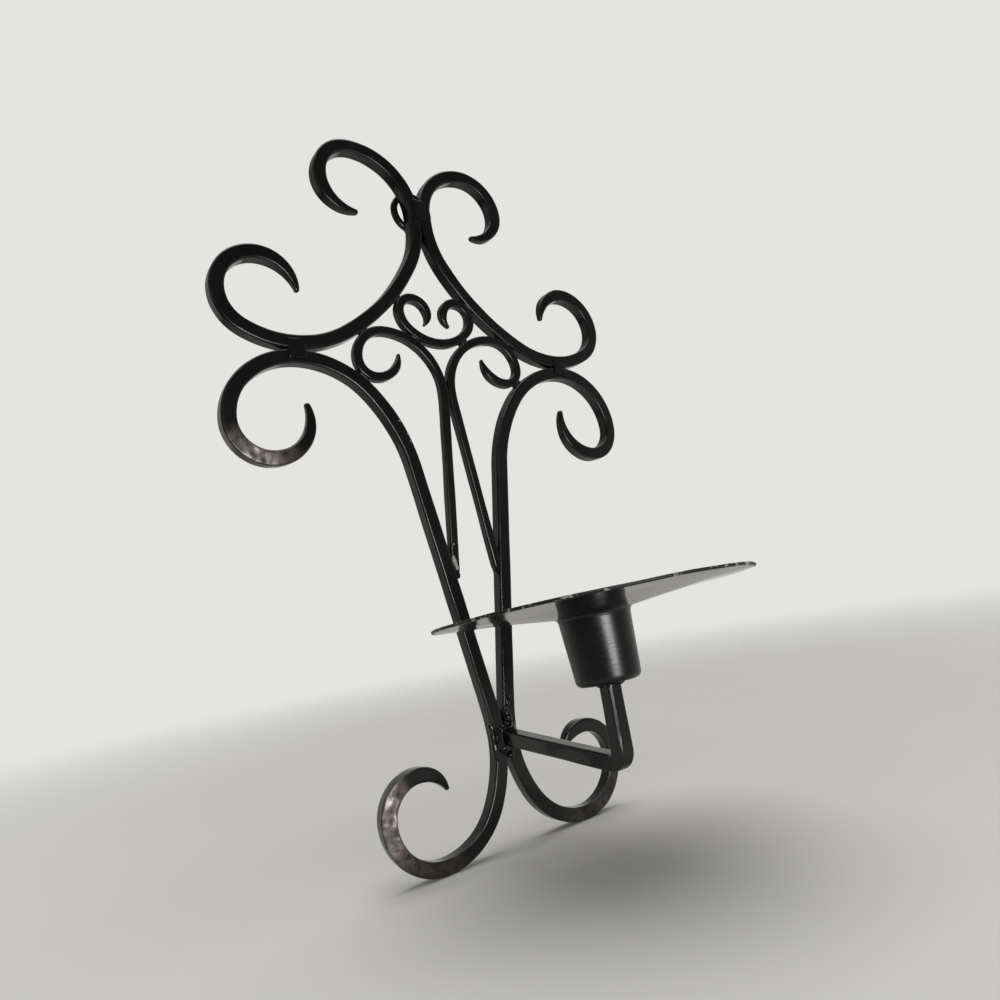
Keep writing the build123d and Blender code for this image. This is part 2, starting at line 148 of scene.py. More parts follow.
def new_piece(name, points, faces, material, **marks):
    """Make a smooth closed mesh of points and faces, with a value at each point for each mark."""
    mesh = bpy.data.meshes.new(name)
    mesh.from_pydata([tuple(point) for point in points], [], faces)
    shape = bmesh.new()
    shape.from_mesh(mesh)
    bmesh.ops.recalc_face_normals(shape, faces=shape.faces)
    shape.to_mesh(mesh)
    shape.free()
    for mark, values in marks.items():
        mesh.attributes.new(mark, "FLOAT", "POINT").data.foreach_set("value", np.ravel(values))
    mesh.polygons.foreach_set("use_smooth", [True] * len(mesh.polygons))
    mesh.materials.append(material)
    piece = bpy.data.objects.new(name, mesh)
    bpy.context.scene.collection.objects.link(piece)
    return piece


def square_section(corner_steps=4, face_shares=(-0.85, -0.6, -0.3, 0, 0.3, 0.6, 0.85)):
    """Give the points round a square of half-size 1: where each sits on the flats, and which way it faces."""
    flats = []
    facing = []
    for quarter in range(4):
        turn = quarter * math.pi / 2
        out = (math.cos(turn), math.sin(turn))
        left = (-out[1], out[0])
        for share in face_shares:
            flats.append((out[0] + left[0] * share, out[1] + left[1] * share))
            facing.append(out)
        for index in range(corner_steps + 1):
            angle = turn + index / corner_steps * math.pi / 2
            flats.append((out[0] + left[0], out[1] + left[1]))
            facing.append((math.cos(angle), math.sin(angle)))
    return np.array(flats), np.array(facing)


def bar_rings(path, width, tips, tip_depth):
    """Give the rings of a bar: its (u, v, heading), half width and half depth at each. Both ends taper to a
    tip of (width, length) and are rounded off."""
    run = np.concatenate(([0], np.cumsum(np.hypot(*np.diff(path[:, :2], axis=0).T))))
    half_width = np.full(len(path), width / 2)
    half_depth = np.full(len(path), width / 2)
    for (tip, length), distance in zip(tips, (run, run[-1] - run)):
        share = np.clip(1 - distance / length, 0, 1) ** 2
        half_width = half_width + (tip / 2 - width / 2) * share
        half_depth = half_depth + (tip_depth / 2 - width / 2) * share * (tip < width)
    rings = list(zip(path, half_width, half_depth))
    for end, sign in ((0, -1), (-1, 1)):
        u, v, heading = path[end]
        cap = []
        for angle in CAP_ANGLES:
            reach = sign * half_width[end] * CAP_REACH * math.sin(math.radians(angle))
            shrink = math.cos(math.radians(angle))
            ring = (u + reach * math.cos(heading), v + reach * math.sin(heading), heading)
            cap.append((ring, half_width[end] * shrink, half_depth[end] * shrink))
        rings = cap[::-1] + rings if end == 0 else rings + cap
    return [np.array(values) for values in zip(*rings)]


def hammered(middle, blows):
    """Give how hard the blows have flattened each ring, from 0 to 1, and the degrees of tilt they leave."""
    worn = np.zeros(len(middle))
    lean = np.zeros(len(middle))
    for x, z, reach, hard, degrees in blows:
        gap = np.hypot(middle[:, 0] - x * MM, middle[:, 1] - z * MM)
        near = np.clip(1 - gap / (reach * MM), 0, 1)
        near = near * near * (3 - 2 * near)
        worn = np.maximum(worn, hard * near)
        lean = np.maximum(lean, degrees * near)
    return worn, lean


def forge_bar(name, path, width, arris, tips, view, material, seed, tip_depth=None, blows=(), specks=()):
    """Skin a bent bar: a rounded square section with drawn ends, long dents, hammer marks and bare specks.
    The view turns (along, up, depth) into the frame, and its last column is the middle of the bar."""
    middle, half_width, half_depth = bar_rings(path, width, tips, tip_depth or width)
    flats, facing = square_section()
    wave = ripple(np.column_stack((middle[:, :2], np.zeros(len(middle)))), DENT_LENGTH, seed)
    radius = np.minimum(arris * (1 + ARRIS_CHANGE * wave), ARRIS_LIMIT * np.minimum(half_width, half_depth))
    worn, lean = hammered(middle, blows)
    half_width = half_width * (1 + HAMMER_SPREAD * worn)
    tilt = np.radians(TWIST * wave + lean)
    across = flats[:, 0] * (half_width - radius)[:, None] + facing[:, 0] * radius[:, None]
    deep = flats[:, 1] * (half_depth - radius)[:, None] + facing[:, 1] * radius[:, None]
    turned = across * np.cos(tilt)[:, None] - deep * np.sin(tilt)[:, None]
    deep = across * np.sin(tilt)[:, None] + deep * np.cos(tilt)[:, None]
    side = np.column_stack((-np.sin(middle[:, 2]), np.cos(middle[:, 2])))

    def in_frame(out_across, out_deep):
        u = middle[:, 0, None] + side[:, 0, None] * out_across
        v = middle[:, 1, None] + side[:, 1, None] * out_across
        flat = np.column_stack((u.ravel(), v.ravel(), out_deep.ravel(), np.ones(u.size)))
        return flat @ view.T

    points = in_frame(turned, deep)
    front = np.tile(np.clip(-facing[:, 1], 0, 1), len(middle))
    # How hard the front has been flattened; the material paints its brown-grey wear and sheen by this
    rubbed = np.repeat(worn, len(flats)) * front
    push = DENT * ripple(points, DENT_LENGTH, seed) + PIT * ripple(points, PIT_LENGTH, seed + 1)
    for index in np.nonzero(rubbed)[0]:
        mark = Vector([value / size for value, size in zip(points[index], HAMMER_MARK)])
        gaps = noise.voronoi(mark + noise.noise_vector(mark * MARK_WARP_WAVE) * MARK_WARP)[0]
        push[index] += HAMMER_DEPTH * rubbed[index] ** 2 * (gaps[0] ** 2 - HAMMER_SINK)
    push = push.reshape(len(middle), len(flats))
    points = in_frame(turned + facing[:, 0] * push, deep + facing[:, 1] * push)
    count = len(flats)
    last = (len(middle) - 1) * count
    faces = []
    for base in range(0, last, count):
        for index in range(count):
            after = (index + 1) % count
            faces.append((base + index, base + after, base + count + after, base + count + index))
    faces.append(tuple(range(count)))
    faces.append(tuple(range(last, last + count)))
    arris_mark = np.tile(np.abs(facing[:, 0] * facing[:, 1]) * 2, len(middle))
    bare = np.zeros(len(points))
    for x, z, reach in specks:
        gap = np.hypot(points[:, 0] - x * MM, points[:, 2] - z * MM)
        bare = np.maximum(bare, np.clip(1 - gap / (reach * MM), 0, 1) * front)
    return new_piece(name, points, faces, material, arris=arris_mark, rubbed=rubbed, bare=bare)


def linear(hex_colour):
    """Turn an sRGB hex colour into the linear values that a shader takes."""
    channels = [int(hex_colour[index:index + 2], 16) / 255 for index in (1, 3, 5)]
    return [c / 12.92 if c <= 0.04045 else ((c + 0.055) / 1.055) ** 2.4 for c in channels] + [1]


def add_node(owner, kind, sockets=None, **settings):
    """Add a shader node with its settings, and set or link its sockets."""
    node = owner.node_tree.nodes.new("ShaderNode" + kind)
    for setting, value in settings.items():
        setattr(node, setting, value)
    for socket, value in (sockets or {}).items():
        if isinstance(value, bpy.types.NodeSocket):
            owner.node_tree.links.new(value, node.inputs[socket])
        else:
            node.inputs[socket].default_value = value
    return node


def bare_material(name):
    """Make a material with no nodes yet."""
    material = bpy.data.materials.new(name)
    material.use_nodes = True
    material.node_tree.nodes.clear()
    return material


# Black enamel over forged bar: a thin satin film that follows the scale beneath, a little greyer in places,
# scuffed along the edges, and rubbed to brown-grey metal where the hammer has flattened the bar. That pale
# brown-grey is partly real wear and partly a painted sheen.
ENAMEL_IOR = 1.5
enamel = bare_material("black_enamel_on_forged_bar")
enamel_place = add_node(enamel, "TexCoord").outputs["Object"]
enamel_cloud = add_node(enamel, "TexNoise", {
    "Vector": enamel_place, "Scale": 1 / (18 * MM), "Detail": 3}).outputs[0]
enamel_peel = add_node(enamel, "TexNoise", {
    "Vector": enamel_place, "Scale": 1 / (2.2 * MM), "Detail": 3}).outputs[0]
enamel_streak = add_node(enamel, "TexNoise", {
    "Vector": enamel_place, "Scale": 1 / (3 * MM), "Detail": 5}).outputs[0]
enamel_arris = add_node(enamel, "Attribute", attribute_name="arris").outputs["Fac"]
enamel_rubbed = add_node(enamel, "Attribute", attribute_name="rubbed").outputs["Fac"]
enamel_bare = add_node(enamel, "Attribute", attribute_name="bare").outputs["Fac"]
enamel_black = add_node(enamel, "Mix", {
    0: enamel_cloud, 6: linear("#0a0a0a"), 7: linear("#141414")}, data_type="RGBA").outputs[2]
# Grey scuffs along the edges, in some stretches more than in others
enamel_scuff_zone = add_node(enamel, "MapRange", {
    "Value": enamel_cloud, "From Min": 0.45, "From Max": 0.65, "To Min": 0, "To Max": 0.6}).outputs[0]
enamel_scuff = add_node(enamel, "Math", {
    0: enamel_arris, 1: enamel_scuff_zone}, operation="MULTIPLY").outputs[0]
enamel_scuffed = add_node(enamel, "Mix", {
    0: enamel_scuff, 6: enamel_black, 7: linear("#3b3835")}, data_type="RGBA").outputs[2]
# Smears of brown-grey metal on the flattened places: partly worn metal, partly a painted sheen
enamel_smear = add_node(enamel, "MapRange", {
    "Value": enamel_streak, "From Min": 0.36, "From Max": 0.56, "To Min": 0.2, "To Max": 1}).outputs[0]
enamel_wear_and_sheen = add_node(enamel, "Math", {
    0: enamel_rubbed, 1: enamel_smear}, operation="MULTIPLY").outputs[0]
enamel_wear_and_sheen_colour = add_node(enamel, "Mix", {
    0: enamel_wear_and_sheen, 6: enamel_scuffed, 7: linear("#9c918c")}, data_type="RGBA").outputs[2]
enamel_metal = add_node(enamel, "Math", {0: enamel_wear_and_sheen, 1: 0.75}, operation="MULTIPLY").outputs[0]
# Pale specks with a ragged edge: chips where the paint has come off the left bar, and pale specks on the left
# scarf
enamel_flake = add_node(enamel, "Math", {
    0: enamel_bare, 1: enamel_peel}, operation="MULTIPLY").outputs[0]
enamel_flake_edge = add_node(enamel, "MapRange", {
    "Value": enamel_flake, "From Min": 0.12, "From Max": 0.3, "To Min": 0, "To Max": 1}).outputs[0]
enamel_colour = add_node(enamel, "Mix", {
    0: enamel_flake_edge, 6: enamel_wear_and_sheen_colour, 7: linear("#a8a5a1")}, data_type="RGBA").outputs[2]
# Satin on the flats, duller on the edges, and dullest where the paint is rubbed
enamel_rough = add_node(enamel, "MapRange", {
    "Value": enamel_cloud, "From Min": 0.3, "From Max": 0.7, "To Min": 0.14, "To Max": 0.24}).outputs[0]
enamel_rough_edge = add_node(enamel, "Math", {
    0: enamel_arris, 1: 0.12, 2: enamel_rough}, operation="MULTIPLY_ADD").outputs[0]
enamel_rough_worn = add_node(enamel, "Math", {
    0: enamel_rubbed, 1: 0.22, 2: enamel_rough_edge}, operation="MULTIPLY_ADD").outputs[0]
# A fine orange peel, and far deeper creases where the hammer has hit hardest
enamel_beaten = add_node(enamel, "MapRange", {
    "Value": enamel_rubbed, "From Min": 0.5, "From Max": 1, "To Min": 2, "To Max": 28}).outputs[0]
enamel_grain = add_node(enamel, "Math", {
    0: enamel_rubbed, 1: enamel_streak}, operation="MULTIPLY").outputs[0]
enamel_relief = add_node(enamel, "Math", {
    0: enamel_grain, 1: enamel_beaten, 2: enamel_peel}, operation="MULTIPLY_ADD").outputs[0]
enamel_bump = add_node(enamel, "Bump", {
    "Height": enamel_relief, "Strength": 0.15, "Distance": 0.04 * MM}).outputs[0]
enamel_shader = add_node(enamel, "BsdfPrincipled", {
    "Base Color": enamel_colour, "Metallic": enamel_metal, "Roughness": enamel_rough_worn, "IOR": ENAMEL_IOR,
    "Normal": enamel_bump}).outputs[0]
add_node(enamel, "OutputMaterial", {"Surface": enamel_shader})

stem_low, stem_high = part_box("right_stem_scroll")
collar_low, collar_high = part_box("right_collar")
waist_x = (BAR + WELD_GAP) / 2
stem_top = ((collar_low.x + collar_high.x) / 2, stem_high.z - BAR / 2)
chest_run = bend_path((0, 0), 180 + SHOULDER_TURN, CHEST_BENDS)[-1][0]
shoulder_r = (stem_top[0] - waist_x + chest_run) / math.sin(math.radians(SHOULDER_TURN))
stem_down = bend_path(stem_top, 180, [(shoulder_r, SHOULDER_TURN)] + CHEST_BENDS + FOOT_BENDS)
stem_tips = [(BAR_TIP, EAR_TAPER), (FOOT_TIP, FOOT_TAPER)]
bar_view = np.array([[1, 0, 0, 0], [0, 0, 1, (stem_low.y + stem_high.y) / 2], [0, 1, 0, 0]])
noise.seed_set(MARK_SEED)
for side, ear_bends, blows, specks, seed in (
        ("right", RIGHT_EAR_BENDS, RIGHT_BLOWS, (), 5),
        ("left", LEFT_EAR_BENDS, LEFT_BLOWS, LEFT_SPECKS, 4)):
    stem_path = on_side(side, end_to_end(bend_path(stem_top, 0, ear_bends), stem_down))
    stem = forge_bar(
        side + "_stem_bar", stem_path, BAR, BAR_ARRIS, stem_tips, bar_view, enamel, seed, TIP_DEPTH,
        blows, specks)
    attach(stem, "root")
    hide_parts(side + "_stem_scroll")

# Crown scrolls
# Two more square bars of the same stock, back to back at the top. Each curls over at the top and sweeps
# down and out to an ear of its own, and is joined to its stem by a collar.
CROWN_FLAT = 5 * MM
CROWN_TOP_R = 26 * MM
RIGHT_TOP_R = 25 * MM               # the right curl is bent a little tighter than the pattern
LEFT_TOP_R = 27.5 * MM              # and the left one a little wider
CROWN_CURL_BENDS = [(17 * MM, -90), (14.5 * MM, -95)]
CROWN_EAR_BENDS = [
    (CROWN_FLAT, 0), (41 * MM, 30), (102 * MM, 30), (46 * MM, 30), (40 * MM, 30), (17 * MM, 60),
    (17.5 * MM, 90), (15.5 * MM, 84)]
CROWN_CURL_TAPER = 24 * MM
CROWN_EAR_TAPER = 22.7 * MM
crown_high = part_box("right_crown_scroll")[1]
crown_start = (waist_x, crown_high.z - BAR / 2 - CROWN_TOP_R)
crown_ear = bend_path(crown_start, 270, CROWN_EAR_BENDS)
crown_tips = [(BAR_TIP, CROWN_CURL_TAPER), (BAR_TIP, CROWN_EAR_TAPER)]
for side, top_r, seed in (("right", RIGHT_TOP_R, 7), ("left", LEFT_TOP_R, 6)):
    crown_curl = bend_path(crown_start, 90, [(top_r, -90)] + CROWN_CURL_BENDS)
    crown_path = on_side(side, end_to_end(crown_curl, crown_ear))
    crown = forge_bar(
        side + "_crown_bar", crown_path, BAR, BAR_ARRIS, crown_tips, bar_view, enamel, seed, TIP_DEPTH)
    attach(crown, "root")
    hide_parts(side + "_crown_scroll")

# Side collars and top collar
# Small blocks of iron pressed over the joints between the bars while hot, then filed at the front and
# painted with the bars.
COLLAR_SKIN = 0.35 * MM             # grain of the fine skin that is laid over a block
COLLAR_SWELL = -0.3 * MM            # the filing takes this off all round
COLLAR_LUMP = 0.12 * MM
COLLAR_LUMP_LENGTH = 4 * MM
SIDE_FLOW = 30                      # smoothing passes, which round the edges of a block
TOP_FLOW = 60
SEAM = 0.001 * MM                   # points nearer to each other than this are made one
DROP_DEPTH = 0.8                    # a drop of weld is this much flatter front to back


def run_metal(name, node, skin, flow, swell, lump, lump_length, material, seed, drops=()):
    """Lay a fine skin over a node's shape and over drops of (x, z, radius) in mm on the front of the bars,
    let it flow smooth, swell it and raise lumps on it."""
    mould = bpy.data.objects.new(name + "_mould", frame["nodes"][node].data.copy())
    bpy.context.scene.collection.objects.link(mould)
    shape = bmesh.new()
    shape.from_mesh(mould.data)
    bmesh.ops.remove_doubles(shape, verts=shape.verts, dist=SEAM)
    for x, z, radius in drops:
        place = Matrix.Translation((x * MM, stem_low.y, z * MM)) @ Matrix.Diagonal((1, DROP_DEPTH, 1, 1))
        bmesh.ops.create_icosphere(shape, subdivisions=3, radius=radius * MM, matrix=place)
    shape.to_mesh(mould.data)
    shape.free()
    cover = mould.modifiers.new("skin", "REMESH")
    cover.mode = "VOXEL"
    cover.voxel_size = skin
    settle = mould.modifiers.new("flow", "SMOOTH")
    settle.iterations = flow
    skinned = bpy.data.meshes.new_from_object(mould.evaluated_get(bpy.context.evaluated_depsgraph_get()))
    bpy.data.objects.remove(mould)
    points = np.array([vertex.co for vertex in skinned.vertices])
    normals = np.array([vertex.normal for vertex in skinned.vertices])
    points = points + normals * (swell + lump * ripple(points, lump_length, seed))[:, None]
    faces = [tuple(face.vertices) for face in skinned.polygons]
    bpy.data.meshes.remove(skinned)
    return new_piece(name, points, faces, material)


for collar_node, flow, seed in (
        ("right_collar", SIDE_FLOW, 0), ("left_collar", SIDE_FLOW, 1), ("top_collar", TOP_FLOW, 2)):
    collar = run_metal(
        collar_node + "_block", collar_node, COLLAR_SKIN, flow, COLLAR_SWELL, COLLAR_LUMP, COLLAR_LUMP_LENGTH,
        enamel, seed)
    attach(collar, "root")
    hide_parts(collar_node)

# Heart scroll
# One lighter square bar bent into a heart, with both ends curled inward, tacked between the crowns.
# Its front is level with the fronts of the larger bars.
SMALL_BAR = 4 * MM
SMALL_ARRIS = 0.7 * MM
SMALL_TIP_DEPTH = 2.2 * MM
SMALL_STEP = 0.6 * MM
HEART_TIP = 1.3 * MM
HEART_TAPER = 9 * MM
HEART_BENDS = [(22 * MM, 45), (10.5 * MM, 45), (7 * MM, 90), (7.5 * MM, 90), (6 * MM, 50)]
heart_low, heart_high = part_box("heart_scroll")
heart_start = (0, heart_low.z + SMALL_BAR / 2)
heart_right = bend_path(heart_start, 0, HEART_BENDS, SMALL_STEP)
heart_left = bend_path(heart_start, 180, [(radius, -turn) for radius, turn in HEART_BENDS], SMALL_STEP)
heart_path = end_to_end(heart_left, heart_right)
heart_tips = [(HEART_TIP, HEART_TAPER), (HEART_TIP, HEART_TAPER)]
small_view = np.array([[1, 0, 0, 0], [0, 0, 1, (heart_low.y + heart_high.y) / 2], [0, 1, 0, 0]])
heart = forge_bar(
    "heart_bar", heart_path, SMALL_BAR, SMALL_ARRIS, heart_tips, small_view, enamel, 11, SMALL_TIP_DEPTH)
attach(heart, "root")
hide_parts("heart_scroll")

# Inner scrolls
# Two lighter bars like walking canes, neck to neck under the heart. Their handles curl out to the stems,
# and their legs run down to a long scarf on the inner sides of the stems.
CANE_SHOULDER = 26.5 * MM
CANE_CURL_BENDS = [(CANE_SHOULDER, -90), (13.5 * MM, -90), (8 * MM, -90), (12 * MM, -86)]
CANE_LEG_BENDS = [(60 * MM, 6.6), (79.5 * MM, 0)]        # the leg runs on into the drop of weld at its foot
CANE_TIP = 1.0 * MM
CANE_TAPER = 11 * MM
SCARF_TIP = 1.4 * MM
SCARF_TAPER = 6 * MM
SCARF_SINK = 0.25 * MM              # the legs lie this far behind the fronts of the stems
# Pale specks on the front of the left scarf, in mm: x, z, reach
LEFT_SCARF_SPECKS = [
    (-10.4, -161, 0.7), (-11.4, -166.6, 1.2), (-11.2, -168.2, 1.5), (-10.9, -169.8, 1.5),
    (-10.6, -171.4, 1.3)]
cane_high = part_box("right_inner_scroll")[1]
cane_start = ((SMALL_BAR + WELD_GAP) / 2, cane_high.z - SMALL_BAR / 2 - CANE_SHOULDER)
cane_curl = bend_path(cane_start, 90, CANE_CURL_BENDS, SMALL_STEP)
cane_leg = bend_path(cane_start, 270, CANE_LEG_BENDS, SMALL_STEP)
cane_tips = [(CANE_TIP, CANE_TAPER), (SCARF_TIP, SCARF_TAPER)]
cane_view = small_view + np.array([[0, 0, 0, 0], [0, 0, 0, SCARF_SINK], [0, 0, 0, 0]])
for side, specks, seed in (("right", (), 11), ("left", LEFT_SCARF_SPECKS, 10)):
    cane_path = on_side(side, end_to_end(cane_curl, cane_leg))
    cane = forge_bar(
        side + "_inner_bar", cane_path, SMALL_BAR, SMALL_ARRIS, cane_tips, cane_view, enamel, seed,
        SMALL_TIP_DEPTH, specks=specks)
    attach(cane, "root")
    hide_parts(side + "_inner_scroll")

# Hanger ring
# A ring of flat iron welded on the backs of the crowns, by which the sconce hangs on a hook. It is a
# little out of round, and its edges are rubbed smooth.
RING_IRON = 3 * MM
RING_EDGE = 1.0 * MM
RING_STEP = 0.35 * MM
RING_SEGMENTS = 96
RING_OVAL = 0.12 * MM
RING_OVAL_TURN = 0.6


def eased(corners, radii, step):
    """Round each corner of a closed outline by its radius, and put points along its sides."""
    outline = []
    count = len(corners)
    rounds = []
    for index, radius in enumerate(radii):
        before, here, after = (Vector(corners[(index + shift) % count]) for shift in (-1, 0, 1))
        if radius == 0:
            rounds.append([here])
            continue
        to_before = (before - here).normalized()
        to_after = (after - here).normalized()
        half = to_before.angle(to_after) / 2
        back = radius / math.tan(half)
        centre = here + (to_before + to_after).normalized() * radius / math.sin(half)
        first = here + to_before * back - centre
        last = here + to_after * back - centre
        sweep = first.angle_signed(last)
        steps = max(2, math.ceil(radius * abs(sweep) / step))
        turns = [Matrix.Rotation(-sweep * part / steps, 2) for part in range(steps + 1)]
        rounds.append([centre + turn @ first for turn in turns])
    for index, bend in enumerate(rounds):
        outline.extend(bend)
        run = rounds[(index + 1) % count][0] - bend[-1]
        steps = math.ceil(run.length / step)
        outline.extend(bend[-1] + run * part / steps for part in range(1, steps))
    return outline


def turn_piece(name, outline, base, axis, segments, material, wobble, rim=None):
    """Turn a closed outline of (radius, height) round an axis that stands on the base. The wobble moves each
    point a little, and the rim marks the points of the outline that lie on a rim."""
    count = len(outline)
    points = []
    for segment in range(segments):
        angle = 2 * math.pi * segment / segments
        for radius, height in outline:
            offset_r, offset_h = wobble(radius, height, angle)
            out = radius + offset_r
            points.append((out * math.cos(angle), out * math.sin(angle), height + offset_h))
    turned = np.array(points) @ np.array(axis.to_3x3()).T + np.array(base)
    faces = []
    for segment in range(segments):
        here = segment * count
        there = (segment + 1) % segments * count
        for index in range(count):
            after = (index + 1) % count
            faces.append((here + index, here + after, there + after, there + index))
    rim_mark = [rim(radius, height) if rim else 0 for radius, height in outline] * segments
    piece = new_piece(name, turned, faces, material, rim=rim_mark)
    shape = bmesh.new()
    shape.from_mesh(piece.data)
    bmesh.ops.remove_doubles(shape, verts=shape.verts, dist=SEAM)
    shape.to_mesh(piece.data)
    shape.free()
    return piece


ring_low, ring_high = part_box("hanger_ring")
ring_outer = (ring_high.x - ring_low.x) / 2
ring_bore = ring_outer - RING_IRON
ring_depth = ring_high.y - ring_low.y
ring_corners = [(ring_bore, 0), (ring_outer, 0), (ring_outer, ring_depth), (ring_bore, ring_depth)]
ring_outline = eased(ring_corners, [RING_EDGE] * 4, RING_STEP)
ring_axis = Matrix.Rotation(math.radians(90), 4, "X")


def ring_wobble(radius, height, angle):
    """Bend the ring a little oval."""
    return RING_OVAL * math.sin(2 * angle + RING_OVAL_TURN), 0


hanger = turn_piece(
    "hanger_ring_loop", ring_outline, (0, ring_high.y, 0), ring_axis, RING_SEGMENTS, enamel, ring_wobble)
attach(hanger, "root")
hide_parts("hanger_ring")

# Arm
# One square bar welded to the waist, which runs forward with a slight droop and is bent up sharply at its
# end to carry the cup. A thin flat is filed on the front left corner of the upright leg.
ARM_DROOP = 5.7
ELBOW_R = 4.5 * MM
ARM_SUNK = 1.5 * MM                 # root of the bar inside the weld
LEG_FLAT = 0.32 * MM
LEG_FLAT_TURN = 30                  # degrees to the left of straight forward that the flat faces
LEG_FLAT_RUN = 5 * MM               # height over the elbow where the flat runs out
arm_low, arm_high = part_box("arm")
root_low, root_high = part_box("arm_root_weld")
waist_z = (root_low.z + root_high.z) / 2
droop = math.radians(ARM_DROOP)
arm_turn = 90 + ARM_DROOP
arm_reach = -arm_low.y - BAR / 2 + root_high.y
arm_straight = arm_reach / math.cos(droop) - ELBOW_R * math.tan(math.radians(arm_turn / 2))
root = (-root_high.y - ARM_SUNK, waist_z + ARM_SUNK * math.tan(droop))
arm_bends = [(arm_straight + ARM_SUNK, 0), (ELBOW_R, arm_turn)]
elbow_z = bend_path(root, -ARM_DROOP, arm_bends)[-1][1]
arm_path = np.array(bend_path(root, -ARM_DROOP, arm_bends + [(arm_high.z - elbow_z, 0)], SMALL_STEP))
arm_view = np.array([[0, 0, 1, 0], [-1, 0, 0, 0], [0, 1, 0, 0]])
arm = forge_bar("arm_bar", arm_path, BAR, BAR_ARRIS, [(BAR, BAR), (BAR, BAR)], arm_view, enamel, 15)
flat_turn = math.radians(LEG_FLAT_TURN)
flat_way = Vector((-math.sin(flat_turn), -math.cos(flat_turn), 0))
flat_reach = (BAR / 2 - BAR_ARRIS) * (math.sin(flat_turn) + math.cos(flat_turn)) + BAR_ARRIS
leg_middle = Vector((0, arm_low.y + BAR / 2, 0))
# File the flat, and cut the end of the leg level so that it stays under the cup
for point in arm.data.vertices:
    run_out = min(1, max(0, (point.co.z - elbow_z) / LEG_FLAT_RUN))
    proud = (point.co - leg_middle).dot(flat_way) - flat_reach + LEG_FLAT * run_out
    if run_out > 0 and proud > 0:
        point.co -= flat_way * proud
    point.co.z = min(point.co.z, arm_high.z)
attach(arm, "root")
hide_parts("arm")

# Candle cup
# A tapered cup pressed from sheet steel, with a rounded bottom edge, open at the top for the candle.
# It is welded on the end of the arm, and leans back a little with the pan.
CUP_BASE_R = 11.6 * MM
CUP_TOP_R = 13.2 * MM
CUP_TAPER_HEIGHT = 24.5 * MM
CUP_MOUTH = 26.7 * MM
CUP_WALL = 1.2 * MM
CUP_FLOOR = 1.5 * MM
CUP_EDGE = 2.2 * MM
CUP_LIP = 0.5 * MM
CUP_STEP = 0.5 * MM
CUP_SEGMENTS = 128
CUP_SWELL = 0.08 * MM               # the wall is out of true by this much, in waves of this length
CUP_SWELL_LENGTH = 14 * MM

# Black enamel over a pressed cup: smoother than on the bars, with fine turning marks round the cup, 0.5 mm
# high and drawn out along it, that spread the highlight sideways.
sheet_enamel = bare_material("black_enamel_on_pressed_cup")
sheet_place = add_node(sheet_enamel, "TexCoord").outputs["Object"]
sheet_stretch = add_node(sheet_enamel, "Mapping", {
    "Vector": sheet_place, "Scale": (1 / (9 * MM), 1 / (9 * MM), 1 / (0.5 * MM))}).outputs[0]
sheet_marks = add_node(sheet_enamel, "TexNoise", {
    "Vector": sheet_stretch, "Scale": 1, "Detail": 3}).outputs[0]
sheet_cloud = add_node(sheet_enamel, "TexNoise", {
    "Vector": sheet_place, "Scale": 1 / (9 * MM), "Detail": 2}).outputs[0]
sheet_colour = add_node(sheet_enamel, "Mix", {
    0: sheet_cloud, 6: linear("#060606"), 7: linear("#0c0c0d")}, data_type="RGBA").outputs[2]
sheet_rough = add_node(sheet_enamel, "MapRange", {
    "Value": sheet_marks, "From Min": 0.3, "From Max": 0.7, "To Min": 0.26, "To Max": 0.36}).outputs[0]
sheet_bump = add_node(sheet_enamel, "Bump", {
    "Height": sheet_marks, "Strength": 0.15, "Distance": 0.04 * MM}).outputs[0]
sheet_shader = add_node(sheet_enamel, "BsdfPrincipled", {
    "Base Color": sheet_colour, "Roughness": sheet_rough, "IOR": ENAMEL_IOR, "Normal": sheet_bump}).outputs[0]
add_node(sheet_enamel, "OutputMaterial", {"Surface": sheet_shader})

seat = next(mount for mount in frame["record"]["mounts"] if mount["name"] == "candle_seat")
cup_up = Vector(seat["axis"])
cup_base = Vector(seat["pos_m"]) - cup_up * CUP_FLOOR
cup_axis = cup_up.to_track_quat("Z", "Y").to_matrix().to_4x4()


def cup_radius(height):
    """Give the outside radius of the cup at a height over its underside."""
    return CUP_BASE_R + (CUP_TOP_R - CUP_BASE_R) * height / CUP_TAPER_HEIGHT


cup_corners = [
    (0, 0), (CUP_BASE_R, 0), (cup_radius(CUP_MOUTH), CUP_MOUTH),
    (cup_radius(CUP_MOUTH) - CUP_WALL, CUP_MOUTH),
    (cup_radius(CUP_FLOOR) - CUP_WALL, CUP_FLOOR), (0, CUP_FLOOR)]
cup_outline = eased(cup_corners, [0, CUP_EDGE, CUP_LIP, CUP_LIP, CUP_EDGE / 2, 0], CUP_STEP)


def cup_wobble(radius, height, angle):
    """Press the wall of the cup a little out of true, and leave its middle."""
    swell = noise.noise(Vector((math.cos(angle), math.sin(angle), height / CUP_SWELL_LENGTH)))
    return CUP_SWELL * swell * min(1, radius / CUP_BASE_R), 0


cup = turn_piece(
    "candle_cup_shell", cup_outline, cup_base, cup_axis, CUP_SEGMENTS, sheet_enamel, cup_wobble)
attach(cup, "root")
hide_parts("candle_cup")

# Drip pan
# A shallow dish of thin sheet steel round the cup, which catches the wax. It is welded on from below, and
# the edge of the sheet is left square.
PAN_R = 58 * MM
PAN_RISE = 4.1 * MM
PAN_CROWN = 0.5 * MM
PAN_SHEET = 1.0 * MM
PAN_EDGE = 0.3 * MM
PAN_RINGS = 40
PAN_SEGMENTS = 192
PAN_WAVE = 0.35 * MM                # the rim is out of true by this much
PAN_WAVES = 2                       # how often it rises and falls on the way round
PAN_WAVE_PICK = 3.3                 # which of many such waves is taken
PAN_DENT = 0.1 * MM                 # shallow dents all over the sheet
PAN_DENT_LENGTH = 16 * MM
RIM_CHIP = 0.4 * MM                 # width of the rim that is chipped

